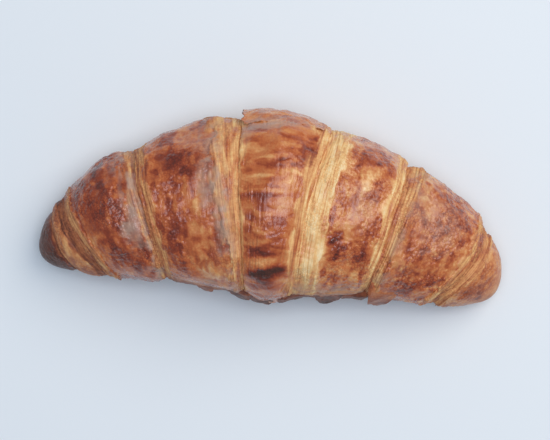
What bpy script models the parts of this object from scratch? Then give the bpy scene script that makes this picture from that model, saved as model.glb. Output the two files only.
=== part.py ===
"""A baked croissant: five rolled turns of layered dough in one solid, lying on its flat base.

Axes: +X runs along the croissant, +Y towards its rounded back, +Z up. The table is z = 0.
Run it with blender --background --python part.py, or from Blender's text editor.
"""

import math
from dataclasses import dataclass

import bmesh
import bpy
import numpy as np
from mathutils import Vector, noise

MM = 0.001
NAME = "croissant"

# Spine: a flat curve through the middle of the body, tighter towards its ends
SPINE_RADIUS = 178 * MM  # at the middle
SPINE_HEADING = math.radians(-4.3)  # direction of the spine at its middle, from +X
SPINE_MIDDLE = (0.2 * MM, 0.62 * MM)
SPINE_REACH = 100 * MM
TIP_CURL = 0.30  # extra turn of the spine at its reach, over an even arc, in radians
SPINE_SAMPLES = 2001

# Smooth body under the turns
MIDDLE_HALF_WIDTH = 33.4 * MM
TAPER = 0.228  # loss of half width per length of spine
PEAK_ROUNDING = 6 * MM
MIDDLE_HEIGHT_SHARE = 0.71  # height over width at the middle
TIP_HEIGHT_SHARE = 0.80  # height over width where a tip rounds off
WIDEST_AT = 0.43  # level of the widest place, as a share of the height
TOP_ROUNDNESS = 2.15  # superellipse exponent of a section's upper half
BOTTOM_ROUNDNESS = 2.5  # and of its lower half
SUNK = 3.2 * MM  # how far the dough would reach below the table if it were not flattened

# Tips: the arc lengths where each begins to round off and where it ends
LEFT_TIP = (-52 * MM, -87.6 * MM)
RIGHT_TIP = (64 * MM, 90 * MM)
TIP_ROUNDNESS = 2.05
TIP_OPENING = 0.05 * MM  # distance from a tip's last ring to its point

# How a turn rises and ends
STEP = 1.5 * MM  # drop from a turn's edge to the turn that comes out from under it
STEP_RAMP = 6 * MM
CUT_WIDTH = 4.5 * MM  # the cut face of the layers, which slopes down to the edge
CUT_FALL = 0.4 * MM
LIP_RADIUS = 0.6 * MM
LIP_DEPTH = 7 * MM  # how far a cut edge reaches into the turn below
UNDERCUT = 0.8 * MM
HIDDEN_DROP = 3.6 * MM
HIDDEN_INSET = 2.5 * MM
HIDDEN_RINGS = 9

# Unevenness of the crust
LUMP_SIZE = 14 * MM
LUMP_HEIGHT = 1.3 * MM
CRINKLE_SIZE = 5.5 * MM
CRINKLE_HEIGHT = 0.6 * MM
RAGGED_HEIGHT = 1.2 * MM
RAGGED_SIZE = 0.3  # in radii of a section

AROUND = 60  # points round a section
CUTTER_MARGIN = 20 * MM
SEAM_WELD = 0.06 * MM
SLIVER = 0.01 * MM
SHARP_ANGLE = math.radians(40)

CRUST_COLOR = (0.36, 0.115, 0.035, 1.0)
CRUST_ROUGHNESS = 0.38


@dataclass(frozen=True)
class Edge:
    """Where a turn ends: arc length at the ridge, slant across the body and bow at both sides."""

    place: float
    lean: float = 0.0
    bow: float = 0.0


@dataclass(frozen=True)
class Turn:
    """A turn of the roll between two edges. An edge that is None is a tip of the croissant."""

    name: str
    left: Edge | None
    right: Edge | None
    swell: float
    left_rings: int
    right_rings: int


# From the outermost turn, at the middle, to the core that shows at the left tip only
TURNS = (
    Turn("top_turn", Edge(-11 * MM, -1.2 * MM, 1.6 * MM), Edge(13.6 * MM, 2.6 * MM, 1.2 * MM), 1.0 * MM, 12, 0),
    Turn("second_turn", Edge(-45 * MM, -1.6 * MM, 1.4 * MM), Edge(43.1 * MM, 0.0, -0.5 * MM), 0.9 * MM, 12, 11),
    Turn("third_turn", Edge(-73.2 * MM, -1.8 * MM, 3.0 * MM), Edge(76.5 * MM, 0.7 * MM, -3.2 * MM), 0.9 * MM, 11, 12),
    Turn("fourth_turn", Edge(-79.6 * MM, 1.0 * MM, 2.5 * MM), None, 0.5 * MM, 5, 8),
    Turn("core_turn", None, Edge(-60 * MM), 0.4 * MM, 7, 0),
)


@dataclass(frozen=True)
class Flake:
    """A lifted scale of crust: where it grows from, its reach along the spine and round the section."""

    start: float
    end: float
    low_angle: float
    high_angle: float
    lift: float


FLAKES = (
    Flake(-11 * MM, 20 * MM, -6, 24, 2.6 * MM),
    Flake(36 * MM, 45 * MM, 2, 24, 1.8 * MM),
    Flake(-8 * MM, 6 * MM, 184, 208, 2.4 * MM),
    Flake(-36 * MM, -20 * MM, 184, 204, 2.2 * MM),
    Flake(22 * MM, 36 * MM, 184, 204, 2.4 * MM),
    Flake(41 * MM, 49 * MM, 178, 198, 2.6 * MM),
    Flake(-62 * MM, -54 * MM, 180, 202, 2.0 * MM),
)
FLAKE_STEPS = 5
FLAKE_THICKNESS = 6 * MM
FLAKE_ROOT = 1.2 * MM  # how deep a flake's root lies in the crust
FLAKE_GROUND = 0.5 * MM  # height of the crust that flakes grow on, over the smooth body
FLAKE_FADE = 0.6  # loss of lift from a flake's raised corner to its other end
FLAKE_END = 0.22  # how much of a flake's arch is cut off at each end


def spine(s):
    """Points of the spine at arc lengths s, and its unit normals towards the croissant's back."""
    fine = np.linspace(-SPINE_REACH, SPINE_REACH, SPINE_SAMPLES)
    heading = SPINE_HEADING - fine / SPINE_RADIUS - TIP_CURL * (fine / SPINE_REACH) ** 3
    step = fine[1] - fine[0]
    x = np.cumsum(np.cos(heading)) * step
    y = np.cumsum(np.sin(heading)) * step
    middle = SPINE_SAMPLES // 2
    x += SPINE_MIDDLE[0] - x[middle]
    y += SPINE_MIDDLE[1] - y[middle]
    turned = np.interp(s, fine, heading)
    return np.interp(s, fine, x), np.interp(s, fine, y), -np.sin(turned), np.cos(turned)


def smooth(t):
    """0 up to t = 0 and 1 from t = 1, with an even start and end."""
    t = np.clip(t, 0.0, 1.0)
    return t * t * (3 - 2 * t)


def tip_share(s):
    """How much of a section is left: 1 along the body, falling to 0 at the end of a tip."""
    share = np.ones_like(s)
    for start, end in (LEFT_TIP, RIGHT_TIP):
        t = np.clip((s - start) / (end - start), 0.0, 1.0)
        share = share * np.sqrt(1 - t**TIP_ROUNDNESS)
    return share


def surface(s, angle, offset):
    """Points at arc length s and at an angle round the section, from +Y over the top, lifted by offset."""
    half_width = MIDDLE_HALF_WIDTH - TAPER * (np.hypot(s, PEAK_ROUNDING) - PEAK_ROUNDING)
    tipness = smooth(np.abs(s) / RIGHT_TIP[0])
    height = 2 * half_width * (MIDDLE_HEIGHT_SHARE + (TIP_HEIGHT_SHARE - MIDDLE_HEIGHT_SHARE) * tipness)
    widest = WIDEST_AT * height
    cos, sin = np.cos(angle), np.sin(angle)
    upper = sin >= 0
    reach = np.where(upper, height - widest, widest + SUNK)
    power = 2 / np.where(upper, TOP_ROUNDNESS, BOTTOM_ROUNDNESS)
    out_across, out_up = cos * reach, sin * half_width
    out_size = np.hypot(out_across, out_up)
    share = tip_share(s)
    across = share * (half_width * np.sign(cos) * np.abs(cos) ** power + offset * out_across / out_size)
    up = widest + share * (reach * np.sign(sin) * np.abs(sin) ** power + offset * out_up / out_size)
    x, y, normal_x, normal_y = spine(s)
    return np.stack([x + across * normal_x, y + across * normal_y, up], axis=-1)


def noise_at(points, size, seed):
    """Smooth noise from about -1 to 1 at an array of points, with features of the given size."""
    shift = Vector((seed, 0.0, 0.0))
    flat = [noise.noise(Vector(p) / size + shift) for p in points.reshape(-1, 3)]
    return np.array(flat).reshape(points.shape[:-1])


def edge_line(edge, tip, angle, seed):
    """Arc length at which a turn ends, at each angle round the section."""
    if edge is None:
        return np.full_like(angle, tip[1] - math.copysign(TIP_OPENING, tip[1]))
    ring = np.stack([np.cos(angle), np.sin(angle), np.zeros_like(angle)], axis=-1)
    ragged = RAGGED_HEIGHT * noise_at(ring, RAGGED_SIZE, seed + edge.place / MM)
    return edge.place + edge.lean * np.cos(angle) + edge.bow * np.cos(angle) ** 2 + ragged


def rings_between(start, end, count):
    """Rings of arc lengths from one edge line to another, closer together at both ends."""
    t = (1 - np.cos(np.linspace(0, math.pi, count))) / 2
    return start + (end - start) * t[:, None]


def edge_fall(inside):
    """How far the crust falls at a distance inside its edge: a sloping cut face and a rounded lip."""
    t = np.clip(1 - inside / LIP_RADIUS, 0.0, 1.0)
    lip = LIP_RADIUS * (1 - np.sqrt(1 - t * t))
    return lip + CUT_FALL * smooth(1 - inside / CUT_WIDTH)


def turn_rings(turn, cover, seed):
    """The rings of points of one turn, from its left end to its right end."""
    angle = np.linspace(0, 2 * math.pi, AROUND, endpoint=False)
    left = edge_line(turn.left, LEFT_TIP, angle, seed)
    right = edge_line(turn.right, RIGHT_TIP, angle, seed)
    if cover is None:
        s = rings_between(left, right, turn.left_rings)
        out = inside = np.minimum(s - left, right - s)
        hidden = np.zeros_like(s, dtype=bool)
        ramp = np.ones_like(s)
    else:
        cover_left = edge_line(cover.left, LEFT_TIP, angle, seed)
        cover_right = edge_line(cover.right, RIGHT_TIP, angle, seed)
        hidden_end = cover_right - HIDDEN_INSET if turn.right_rings else right
        blocks = [
            rings_between(left, cover_left, turn.left_rings),
            rings_between(cover_left + HIDDEN_INSET, hidden_end, HIDDEN_RINGS),
        ]
        if turn.right_rings:
            blocks.append(rings_between(cover_right, right, turn.right_rings))
        s = np.concatenate(blocks)
        out = np.maximum(cover_left - s, s - cover_right) if turn.right_rings else cover_left - s
        hidden = out < -HIDDEN_INSET / 2
        inside = np.minimum(s - left if turn.left else np.inf, right - s if turn.right else np.inf)
        ramp = smooth(out / STEP_RAMP)
    to_end = np.minimum(s - left, right - s)
    share = out / np.maximum(out + to_end, MM)
    if cover is None:
        share = (s - left) / (right - left)
    swell = turn.swell * np.sin(math.pi * np.clip(share, 0.0, 1.0))
    base = surface(s, angle[None, :], np.zeros_like(s))
    lumps = LUMP_HEIGHT * noise_at(base, LUMP_SIZE, 0.0)
    crinkles = CRINKLE_HEIGHT * noise_at(base, CRINKLE_SIZE, seed)
    offset = swell + lumps + crinkles - STEP * (1 - ramp) - edge_fall(inside)
    drop = HIDDEN_DROP * (1 + smooth((-out - HIDDEN_INSET) / STEP_RAMP))
    offset = np.where(hidden, lumps - drop, offset)
    rings = [surface(s, angle[None, :], offset)]
    if turn.left:
        cut = left + UNDERCUT
        rings.insert(0, surface(cut, angle, np.full_like(cut, -LIP_DEPTH))[None])
    if turn.right:
        cut = right - UNDERCUT
        rings.append(surface(cut, angle, np.full_like(cut, -LIP_DEPTH))[None])
    return np.concatenate(rings)


def add_object(name, mesh, material, collection):
    """Puts a mesh in the scene as an object of one material."""
    mesh.materials.append(material)
    made = bpy.data.objects.new(name, mesh)
    collection.objects.link(made)
    return made


def tube_mesh(name, rings):
    """A closed tube through rings of points, with a fan over each end."""
    bm = bmesh.new()
    rows = [[bm.verts.new(p) for p in ring] for ring in rings]
    around = len(rows[0])
    for row, following in zip(rows, rows[1:]):
        for i in range(around):
            j = (i + 1) % around
            bm.faces.new((row[i], row[j], following[j], following[i]))
    for row in (rows[0], rows[-1]):
        middle = bm.verts.new(sum((v.co for v in row), Vector()) / around)
        for i in range(around):
            bm.faces.new((row[i], row[(i + 1) % around], middle))
    bmesh.ops.recalc_face_normals(bm, faces=bm.faces)
    mesh = bpy.data.meshes.new(name)
    bm.to_mesh(mesh)
    bm.free()
    return mesh


def flake_mesh(name, flake):
    """A thin scale of crust, rooted in the body and lifted at its free side."""
    steps = np.linspace(0, 1, FLAKE_STEPS)
    along, rise = np.meshgrid(steps, steps, indexing="ij")
    width = np.sin(math.pi * (FLAKE_END + (1 - 2 * FLAKE_END) * along))
    middle = math.radians((flake.low_angle + flake.high_angle) / 2)
    half = math.radians((flake.high_angle - flake.low_angle) / 2)
    s = flake.start + (flake.end - flake.start) * along
    angle = middle + half * (2 * rise - 1) * width
    height = flake.lift * (1 - FLAKE_FADE * along) + FLAKE_ROOT
    lift = height * np.sin(math.pi * rise) * width - FLAKE_ROOT + FLAKE_GROUND
    top = surface(s, angle, lift)
    bottom = surface(s, angle, lift - FLAKE_THICKNESS)
    bm = bmesh.new()
    upper = [[bm.verts.new(p) for p in row] for row in top]
    lower = [[bm.verts.new(p) for p in row] for row in bottom]
    last = FLAKE_STEPS - 1
    for i in range(last):
        for j in range(last):
            bm.faces.new((upper[i][j], upper[i + 1][j], upper[i + 1][j + 1], upper[i][j + 1]))
            bm.faces.new((lower[i][j], lower[i][j + 1], lower[i + 1][j + 1], lower[i + 1][j]))
    rim = [(i, 0) for i in range(last)] + [(last, j) for j in range(last)]
    rim += [(i, last) for i in range(last, 0, -1)] + [(0, j) for j in range(last, 0, -1)]
    for (a, b), (c, d) in zip(rim, rim[1:] + rim[:1]):
        bm.faces.new((upper[a][b], lower[a][b], lower[c][d], upper[c][d]))
    bmesh.ops.recalc_face_normals(bm, faces=bm.faces)
    mesh = bpy.data.meshes.new(name)
    bm.to_mesh(mesh)
    bm.free()
    return mesh


def crust_material():
    """Egg-washed baked dough: brown, with a soft gloss."""
    material = bpy.data.materials.new("baked_crust")
    material.use_nodes = True
    shader = material.node_tree.nodes["Principled BSDF"]
    shader.inputs["Base Color"].default_value = CRUST_COLOR
    shader.inputs["Roughness"].default_value = CRUST_ROUGHNESS
    shader.inputs["Metallic"].default_value = 0.0
    return material


def apply_modifiers(obj):
    """Makes an object's modifiers part of its mesh."""
    bpy.context.view_layer.objects.active = obj
    for modifier in list(obj.modifiers):
        bpy.ops.object.modifier_apply(modifier=modifier.name)


def join_turns(body, pieces):
    """One solid of the body and the pieces that meet it. The pieces are used up."""
    for piece in list(pieces.objects):
        union = body.modifiers.new(f"join_{piece.name}", "BOOLEAN")
        union.operation = "UNION"
        union.object = piece
        union.solver = "MANIFOLD"
        apply_modifiers(body)
        bpy.data.objects.remove(piece)
    bpy.data.collections.remove(pieces)


def keep_outer_shell(body):
    """Fills the hollows that the joining sealed in, and drops scraps: only the largest shell stays."""
    bm = bmesh.new()
    bm.from_mesh(body.data)
    waiting = set(bm.faces)
    shells = []
    while waiting:
        shell = []
        front = [waiting.pop()]
        while front:
            face = front.pop()
            shell.append(face)
            around = {other for edge in face.edges for other in edge.link_faces}
            front.extend(around & waiting)
            waiting -= around
        shells.append(shell)
    shells.sort(key=len)
    for shell in shells[:-1]:
        bmesh.ops.delete(bm, geom=shell, context="FACES")
    bm.to_mesh(body.data)
    bm.free()


def close_seams(body):
    """Merges the slivers that the joining left along the seams."""
    bm = bmesh.new()
    bm.from_mesh(body.data)
    bmesh.ops.remove_doubles(bm, verts=bm.verts, dist=SEAM_WELD)
    bmesh.ops.triangulate(bm, faces=bm.faces)
    bmesh.ops.dissolve_degenerate(bm, edges=bm.edges, dist=SLIVER)
    bmesh.ops.triangulate(bm, faces=bm.faces)
    bm.to_mesh(body.data)
    bm.free()


def flatten_base(body, cutters):
    """Cuts the body off at the table, where the dough lay flat on its tray."""
    low = min(v.co.z for v in body.data.vertices)
    depth = CUTTER_MARGIN - low
    bpy.ops.mesh.primitive_cube_add(size=1, location=(0, 0, -depth / 2))
    cutter = bpy.context.object
    cutter.name = "table_cutter"
    reach = 2 * (max(abs(c) for v in body.data.vertices for c in v.co) + CUTTER_MARGIN)
    cutter.scale = (reach, reach, depth)
    bpy.ops.object.transform_apply(location=False, rotation=False, scale=True)
    cutter.hide_render = True
    cutter.display_type = "WIRE"
    for collection in list(cutter.users_collection):
        collection.objects.unlink(cutter)
    cutters.objects.link(cutter)
    cut = body.modifiers.new("flat_base", "BOOLEAN")
    cut.operation = "DIFFERENCE"
    cut.object = cutter
    cut.solver = "MANIFOLD"
    apply_modifiers(body)


def build():
    """Makes the croissant."""
    for old in list(bpy.data.objects):
        bpy.data.objects.remove(old)
    parts = bpy.data.collections.new(NAME)
    pieces = bpy.data.collections.new("turns_and_flakes")
    cutters = bpy.data.collections.new("cutters")
    for collection in (parts, pieces, cutters):
        bpy.context.scene.collection.children.link(collection)
    crust = crust_material()
    body = None
    for number, turn in enumerate(TURNS):
        cover = TURNS[number - 1] if number else None
        mesh = tube_mesh(turn.name, turn_rings(turn, cover, float(number)))
        if body is None:
            body = add_object(NAME, mesh, crust, parts)
        else:
            add_object(turn.name, mesh, crust, pieces)
    for number, flake in enumerate(FLAKES):
        name = f"flake_{number}"
        add_object(name, flake_mesh(name, flake), crust, pieces)
    join_turns(body, pieces)
    flatten_base(body, cutters)
    close_seams(body)
    keep_outer_shell(body)
    body.data.shade_smooth()
    body.data.set_sharp_from_angle(angle=SHARP_ANGLE)
    lows = [min(v.co[i] for v in body.data.vertices) for i in range(3)]
    highs = [max(v.co[i] for v in body.data.vertices) for i in range(3)]
    print("box in mm", [round(c / MM, 2) for c in lows], [round(c / MM, 2) for c in highs])


build()
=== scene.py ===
"""The looks of a baked croissant: its rolled turns as fine crust, with cut layers, flakes and glaze.

Axes: +X runs along the croissant, +Y towards its rounded back, +Z up. The table is z = 0.
"""

import logging
import math
from dataclasses import dataclass, field
from enum import Enum, auto

import bpy
import numpy as np
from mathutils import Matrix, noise


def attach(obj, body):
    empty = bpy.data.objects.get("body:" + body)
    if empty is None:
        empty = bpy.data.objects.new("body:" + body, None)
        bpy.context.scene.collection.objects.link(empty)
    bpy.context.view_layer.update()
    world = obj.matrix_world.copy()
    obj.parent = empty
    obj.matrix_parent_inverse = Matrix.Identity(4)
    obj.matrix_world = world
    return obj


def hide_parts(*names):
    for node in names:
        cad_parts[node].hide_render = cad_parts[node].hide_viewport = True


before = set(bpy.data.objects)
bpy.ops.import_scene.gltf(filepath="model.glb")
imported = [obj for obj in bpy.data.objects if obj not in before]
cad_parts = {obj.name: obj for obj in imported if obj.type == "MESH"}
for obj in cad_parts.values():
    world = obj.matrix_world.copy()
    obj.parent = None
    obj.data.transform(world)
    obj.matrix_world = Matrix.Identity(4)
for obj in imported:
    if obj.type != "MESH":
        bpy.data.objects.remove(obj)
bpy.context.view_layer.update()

MM = 0.001
WELD = 0.003 * MM  # points closer than this are one
BODY = "root"
NODE = "croissant"
MARKS = ("bake", "glaze", "layer", "steam_and_sheen", "blister")  # what the crust's mesh tells its material
COARSE = 1.0

Tree = bpy.types.NodeTree
Socket = bpy.types.NodeSocket

log = logging.getLogger("croissant")


def smooth(t: np.ndarray) -> np.ndarray:
    """Gives 0 up to t = 0 and 1 from t = 1, with an even start and end."""
    t = np.clip(t, 0.0, 1.0)
    return t * t * (3 - 2 * t)


def window(value: np.ndarray, low: float, high: float) -> np.ndarray:
    """Rises evenly from 0 at low to 1 at high."""
    return smooth((value - low) / (high - low))


def fade_out(distance: np.ndarray, width: float) -> np.ndarray:
    """Gives 1 at no distance, fading within about a width."""
    return np.exp(-distance / width)


def stack(*parts: np.ndarray) -> np.ndarray:
    """Joins arrays of one shape, or numbers, as the coordinates of points."""
    return np.stack(np.broadcast_arrays(*parts), axis=-1)


def grain(points: np.ndarray, size: float | tuple[float, float, float], seed: float) -> np.ndarray:
    """Smooth noise over an array of points.

    Args:
        points: Points in space, the last axis being x, y and z.
        size: Size of the features, along each axis or along all three.
        seed: Which pattern, out of many.

    Returns:
        About -1 to 1 for each point.
    """
    shifted = points / np.asarray(size) + np.array([seed, 0.0, 0.0])
    flat = [noise.noise(p) for p in shifted.reshape(-1, 3).tolist()]
    return np.array(flat).reshape(points.shape[:-1])


def cells(points: np.ndarray, size: float, seed: float) -> np.ndarray:
    """Distance to the nearest of scattered centres, over an array of points.

    Args:
        points: Points in space, the last axis being x, y and z.
        size: Size of the cells.
        seed: Which pattern, out of many.

    Returns:
        The distance from each point, in sizes.
    """
    shifted = points / size + np.array([seed, 0.0, 0.0])
    flat = [noise.voronoi(p)[0][0] for p in shifted.reshape(-1, 3).tolist()]
    return np.array(flat).reshape(points.shape[:-1])


@dataclass(frozen=True)
class Pattern:
    """Smooth noise of one size, with its own seed among the patterns of a turn."""

    size: float | tuple[float, float, float]
    seed: float

    def over(self, points: np.ndarray, number: float) -> np.ndarray:
        """Draws it over points of the turn with a number, from about -1 to 1."""
        return grain(points, self.size, number + self.seed)


def linear(hex_color: str) -> tuple[float, float, float, float]:
    """Turns an sRGB colour such as "#c08040" into linear light.

    Args:
        hex_color: The colour's hex value.

    Returns:
        Linear red, green, blue and alpha.
    """
    parts = [int(hex_color[i : i + 2], 16) / 255 for i in (1, 3, 5)]
    low = [c / 12.92 if c <= 0.04045 else ((c + 0.055) / 1.055) ** 2.4 for c in parts]
    return (*low, 1.0)


class Bound(Enum):
    """How a stretch of crust ends."""

    CUT = auto()  # in its own cut edge
    COVERED = auto()  # under the edge of the next turn out
    TIP = auto()  # in a tip of the croissant


@dataclass(frozen=True)
class Form:
    """The smooth body under the crust: a curved spine and a superellipse section that tapers."""

    radius: float = 178 * MM  # of the spine at its middle
    heading: float = math.radians(-4.3)  # of the spine at its middle, from +X
    middle: tuple[float, float] = (0.2 * MM, 0.62 * MM)
    reach: float = 100 * MM
    curl: float = 0.30  # extra turn at the reach, in radians
    samples: int = 2001
    half_width: float = 33.4 * MM
    taper: float = 0.228  # loss of half width per length of spine
    peak_rounding: float = 6 * MM
    middle_height_share: float = 0.71  # height over width at the middle
    tip_height_share: float = 0.80
    widest_at: float = 0.43  # share of the height
    top_roundness: float = 2.15
    bottom_roundness: float = 2.5
    sunk: float = 3.2 * MM  # how far the round section would go below the table
    left_tip: tuple[float, float] = (-52 * MM, -87.6 * MM)  # where it rounds off, from and to
    right_tip: tuple[float, float] = (64 * MM, 90 * MM)
    tip_roundness: float = 2.05
    tip_opening: float = 0.05 * MM  # how far short of a tip the crust's last row is

    def spine(self, s: np.ndarray) -> tuple[np.ndarray, np.ndarray, np.ndarray, np.ndarray]:
        """Follows the spine.

        Args:
            s: Arc lengths from the middle.

        Returns:
            Its x and y there, and the x and y of its unit normals towards the back.
        """
        fine = np.linspace(-self.reach, self.reach, self.samples)
        heading = self.heading - fine / self.radius - self.curl * (fine / self.reach) ** 3
        step = fine[1] - fine[0]
        x = np.cumsum(np.cos(heading)) * step
        y = np.cumsum(np.sin(heading)) * step
        middle = self.samples // 2
        x += self.middle[0] - x[middle]
        y += self.middle[1] - y[middle]
        turned = np.interp(s, fine, heading)
        return np.interp(s, fine, x), np.interp(s, fine, y), -np.sin(turned), np.cos(turned)

    def width_at(self, s: np.ndarray) -> np.ndarray:
        """Half width of the body at arc lengths s, before a tip rounds it off."""
        return self.half_width - self.taper * (np.hypot(s, self.peak_rounding) - self.peak_rounding)

    def height_at(self, s: np.ndarray) -> np.ndarray:
        """Height of the body before a tip rounds it off.

        Args:
            s: Arc lengths along the spine.

        Returns:
            The height at each.
        """
        tipness = smooth(np.abs(s) / self.right_tip[0])
        share = self.middle_height_share + (self.tip_height_share - self.middle_height_share) * tipness
        return 2 * self.width_at(s) * share

    def share(self, s: np.ndarray) -> np.ndarray:
        """Rounds off the tips.

        Args:
            s: Arc lengths along the spine.

        Returns:
            How much of the section is left: 1 along the body, falling to 0 at the end of a tip.
        """
        share = np.ones_like(s)
        for start, end in (self.left_tip, self.right_tip):
            t = np.clip((s - start) / (end - start), 0.0, 1.0)
            share = share * np.sqrt(1 - t**self.tip_roundness)
        return share

    def point(self, s: np.ndarray, angle: np.ndarray, offset: np.ndarray) -> np.ndarray:
        """Points of the crust.

        Args:
            s: Arc lengths along the spine.
            angle: Angles round the section, from +Y over the top.
            offset: Heights over the smooth body.

        Returns:
            The points, x, y and z along the last axis.
        """
        half_width = self.width_at(s)
        height = self.height_at(s)
        widest = self.widest_at * height
        cos, sin = np.cos(angle), np.sin(angle)
        upper = sin >= 0
        reach = np.where(upper, height - widest, widest + self.sunk)
        power = 2 / np.where(upper, self.top_roundness, self.bottom_roundness)
        out_across, out_up = cos * reach, sin * half_width
        size = np.hypot(out_across, out_up)
        share = self.share(s)
        across = share * (half_width * np.sign(cos) * np.abs(cos) ** power + offset * out_across / size)
        up = widest + share * (reach * np.sign(sin) * np.abs(sin) ** power + offset * out_up / size)
        x, y, normal_x, normal_y = self.spine(s)
        return stack(x + across * normal_x, y + across * normal_y, up)


FORM = Form()


@dataclass(frozen=True)
class Edge:
    """Where a turn ends.

    Attributes:
        place: Arc length at the ridge.
        lean: How much further right it is at the back than at the ridge.
        bow: How much further right it is at both sides.
        turn: Number of the turn that ends there.
        ragged: How far it wanders.
        ragged_size: Size of the wander on a circle of radius 1.
        nibble: How far it is torn.
        nibble_size: Size of the tears on a circle of radius 1.
    """

    place: float
    lean: float = 0.0
    bow: float = 0.0
    turn: float = 0.0
    ragged: float = 0.6 * MM
    ragged_size: float = 0.6
    nibble: float = 0.3 * MM
    nibble_size: float = 0.09

    def ring(self, angle: np.ndarray) -> np.ndarray:
        """Points of a unit circle, for noise that closes on itself."""
        return stack(np.cos(angle), np.sin(angle), np.zeros_like(angle))

    def line(self, angle: np.ndarray) -> np.ndarray:
        """Follows the edge round the section.

        Args:
            angle: Angles from +Y over the top.

        Returns:
            Arc length of the edge at each.
        """
        wave = self.ragged * grain(self.ring(angle), self.ragged_size, self.turn + self.place / MM)
        return self.place + self.lean * np.cos(angle) + self.bow * np.cos(angle) ** 2 + wave

    def nibbles(self, angle: np.ndarray) -> np.ndarray:
        """How far the torn edge strays from its line.

        Args:
            angle: Angles from +Y over the top.

        Returns:
            The distance at each, to the right.
        """
        ring = self.ring(angle)
        seed = self.turn + self.place / MM
        tears = grain(ring, self.nibble_size, seed) + 0.6 * grain(ring, self.nibble_size / 3, seed)
        return self.nibble * tears


@dataclass(frozen=True)
class Leaves:
    """Thin layers of dough that end one after another, as at a cut through the roll.

    Attributes:
        count: How many layers end across the band.
        rise: Height of each, upwards from the edge.
        wander: How far each one's end strays as it runs round the roll.
        run: Length over which it strays.
        shade: How much the layers differ in how brown they are.
        foot_shade: How much darker the foot of each is, a painted shade in the corner of its step.
        toast: How much browner its end is.
        sharpness: Width of a layer's end.
        fibre: Height of the fine ridges on the layers.
        fibre_size: Width of a ridge.
        fibre_run: Length of a ridge.
    """

    count: int = 5
    rise: float = 0.2 * MM
    wander: float = 0.9 * MM
    run: float = 19 * MM
    shade: float = 0.10
    foot_shade: float = 0.06
    toast: float = 0.10
    sharpness: float = 0.16 * MM
    fibre: float = 0.17 * MM
    fibre_size: float = 0.45 * MM
    fibre_run: float = 11 * MM

    def lay(
        self, across: np.ndarray, along: np.ndarray, width: float, seed: float
    ) -> tuple[np.ndarray, np.ndarray]:
        """Lays the layers over a band.

        Args:
            across: Distance from the edge at each place, as if the band were even.
            along: Distance round the roll at each place.
            width: Width of the band.
            seed: Which pattern.

        Returns:
            Their height, and how much browner each place is.
        """
        middle = along[along.shape[0] // 2]
        track = stack(middle, 0 * middle, 0 * middle)
        height = np.zeros_like(across)
        tone = np.zeros_like(across)
        before = 0.0
        for k in range(self.count):
            stray = grain(track, self.run, seed + 7.3 * k)
            stray += 0.1 * grain(track, self.run / 6, seed + 5.1 * k)
            faint = window(grain(track, 5 * MM, seed + 9.7 * k), -0.35, 0.25)
            end = (k + 0.5) / self.count * width + self.wander * stray
            past = (across - end) / self.sharpness
            up = smooth(past + 0.5)
            height += self.rise * (1 + 0.9 * math.sin(12.9 * k + seed)) * (up - 0.5)
            shade = self.shade * math.sin(7.7 * k + 3 * seed)
            tone += (shade - before) * up
            before = shade
            # A painted shade at the foot of each layer's step
            tone += self.foot_shade * faint * np.exp(-((past + 0.5) ** 2))
            tone += self.toast * (1 - faint) * np.exp(-((past - 1.0) ** 2) / 2)
        drift = 0.6 * MM * grain(track, 14 * MM, seed + 1.7)
        places = stack(across + drift, along, 0 * across)
        fibre = grain(places, (self.fibre_size, self.fibre_run, MM), seed + 3)
        # The fibres' ridges are lighter and their grooves darker, partly a painted shade
        return height + self.fibre * fibre, tone - 0.14 * fibre


@dataclass(frozen=True)
class Rim:
    """One end of a stretch of crust, and the band of paler dough beside it.

    Attributes:
        bound: How the stretch ends.
        edge: Where it ends, or none at a tip.
        band: Width of the band at the ridge.
        band_lean: How much wider it is at the back.
        band_bake: How brown it is, 0 to 1.
        fray: How far its border strays.
        steam_and_sheen: How much pale skin from the steam, partly a painted sheen, lies along its border.
        leaves: The layers that show in it.
        step: How far the crust sinks towards a cover's edge.
        lip: Radius of a cut edge.
        fade: Width over which its border may fade.
    """

    bound: Bound
    edge: Edge | None = None
    band: float = 4 * MM
    band_lean: float = 0.0
    band_bake: float = 0.25
    fray: float = 1.0 * MM
    steam_and_sheen: float = 0.0
    leaves: Leaves = Leaves()
    step: float = 0.65 * MM
    lip: float = 0.45 * MM
    fade: float = 1.3 * MM

    def band_at(self, angle: np.ndarray) -> np.ndarray:
        """Width of the band at each angle round the section."""
        return np.maximum(self.band + self.band_lean * np.cos(angle), 0.3 * MM)


@dataclass(frozen=True)
class Spot:
    """A patch of the crust that baked more or less than the rest.

    Attributes:
        x: Place of its middle as seen from above.
        y: The same, towards the back.
        reach_x: Half its length along x.
        reach_y: Half its length along y.
        change: What it adds at its middle.
        frayed: How ragged it is.
        soft: How soft its border is.
    """

    x: float
    y: float
    reach_x: float
    reach_y: float
    change: float
    frayed: float = 0.5
    soft: float = 0.35

    def weight(self, points: np.ndarray) -> np.ndarray:
        """Spreads the patch over points.

        Args:
            points: Points of the crust.

        Returns:
            How much of the patch lies at each, 0 to 1.
        """
        fray = self.frayed * grain(points, (3.2 * MM, 1.9 * MM, 3.2 * MM), self.x / MM)
        fray += 0.8 * self.frayed * grain(points, (1.6 * MM, 0.7 * MM, 1.6 * MM), self.y / MM)
        away = np.hypot((points[..., 0] - self.x) / self.reach_x, (points[..., 1] - self.y) / self.reach_y)
        return 1 - window(away + fray, 0.9 - self.soft, 0.9 + self.soft)


def spot(x: float, y: float, reach_x: float, reach_y: float, *finish: float) -> Spot:
    """Makes a Spot from sizes in millimetres, and its change, fraying and softness."""
    return Spot(x * MM, y * MM, reach_x * MM, reach_y * MM, *finish)


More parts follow.
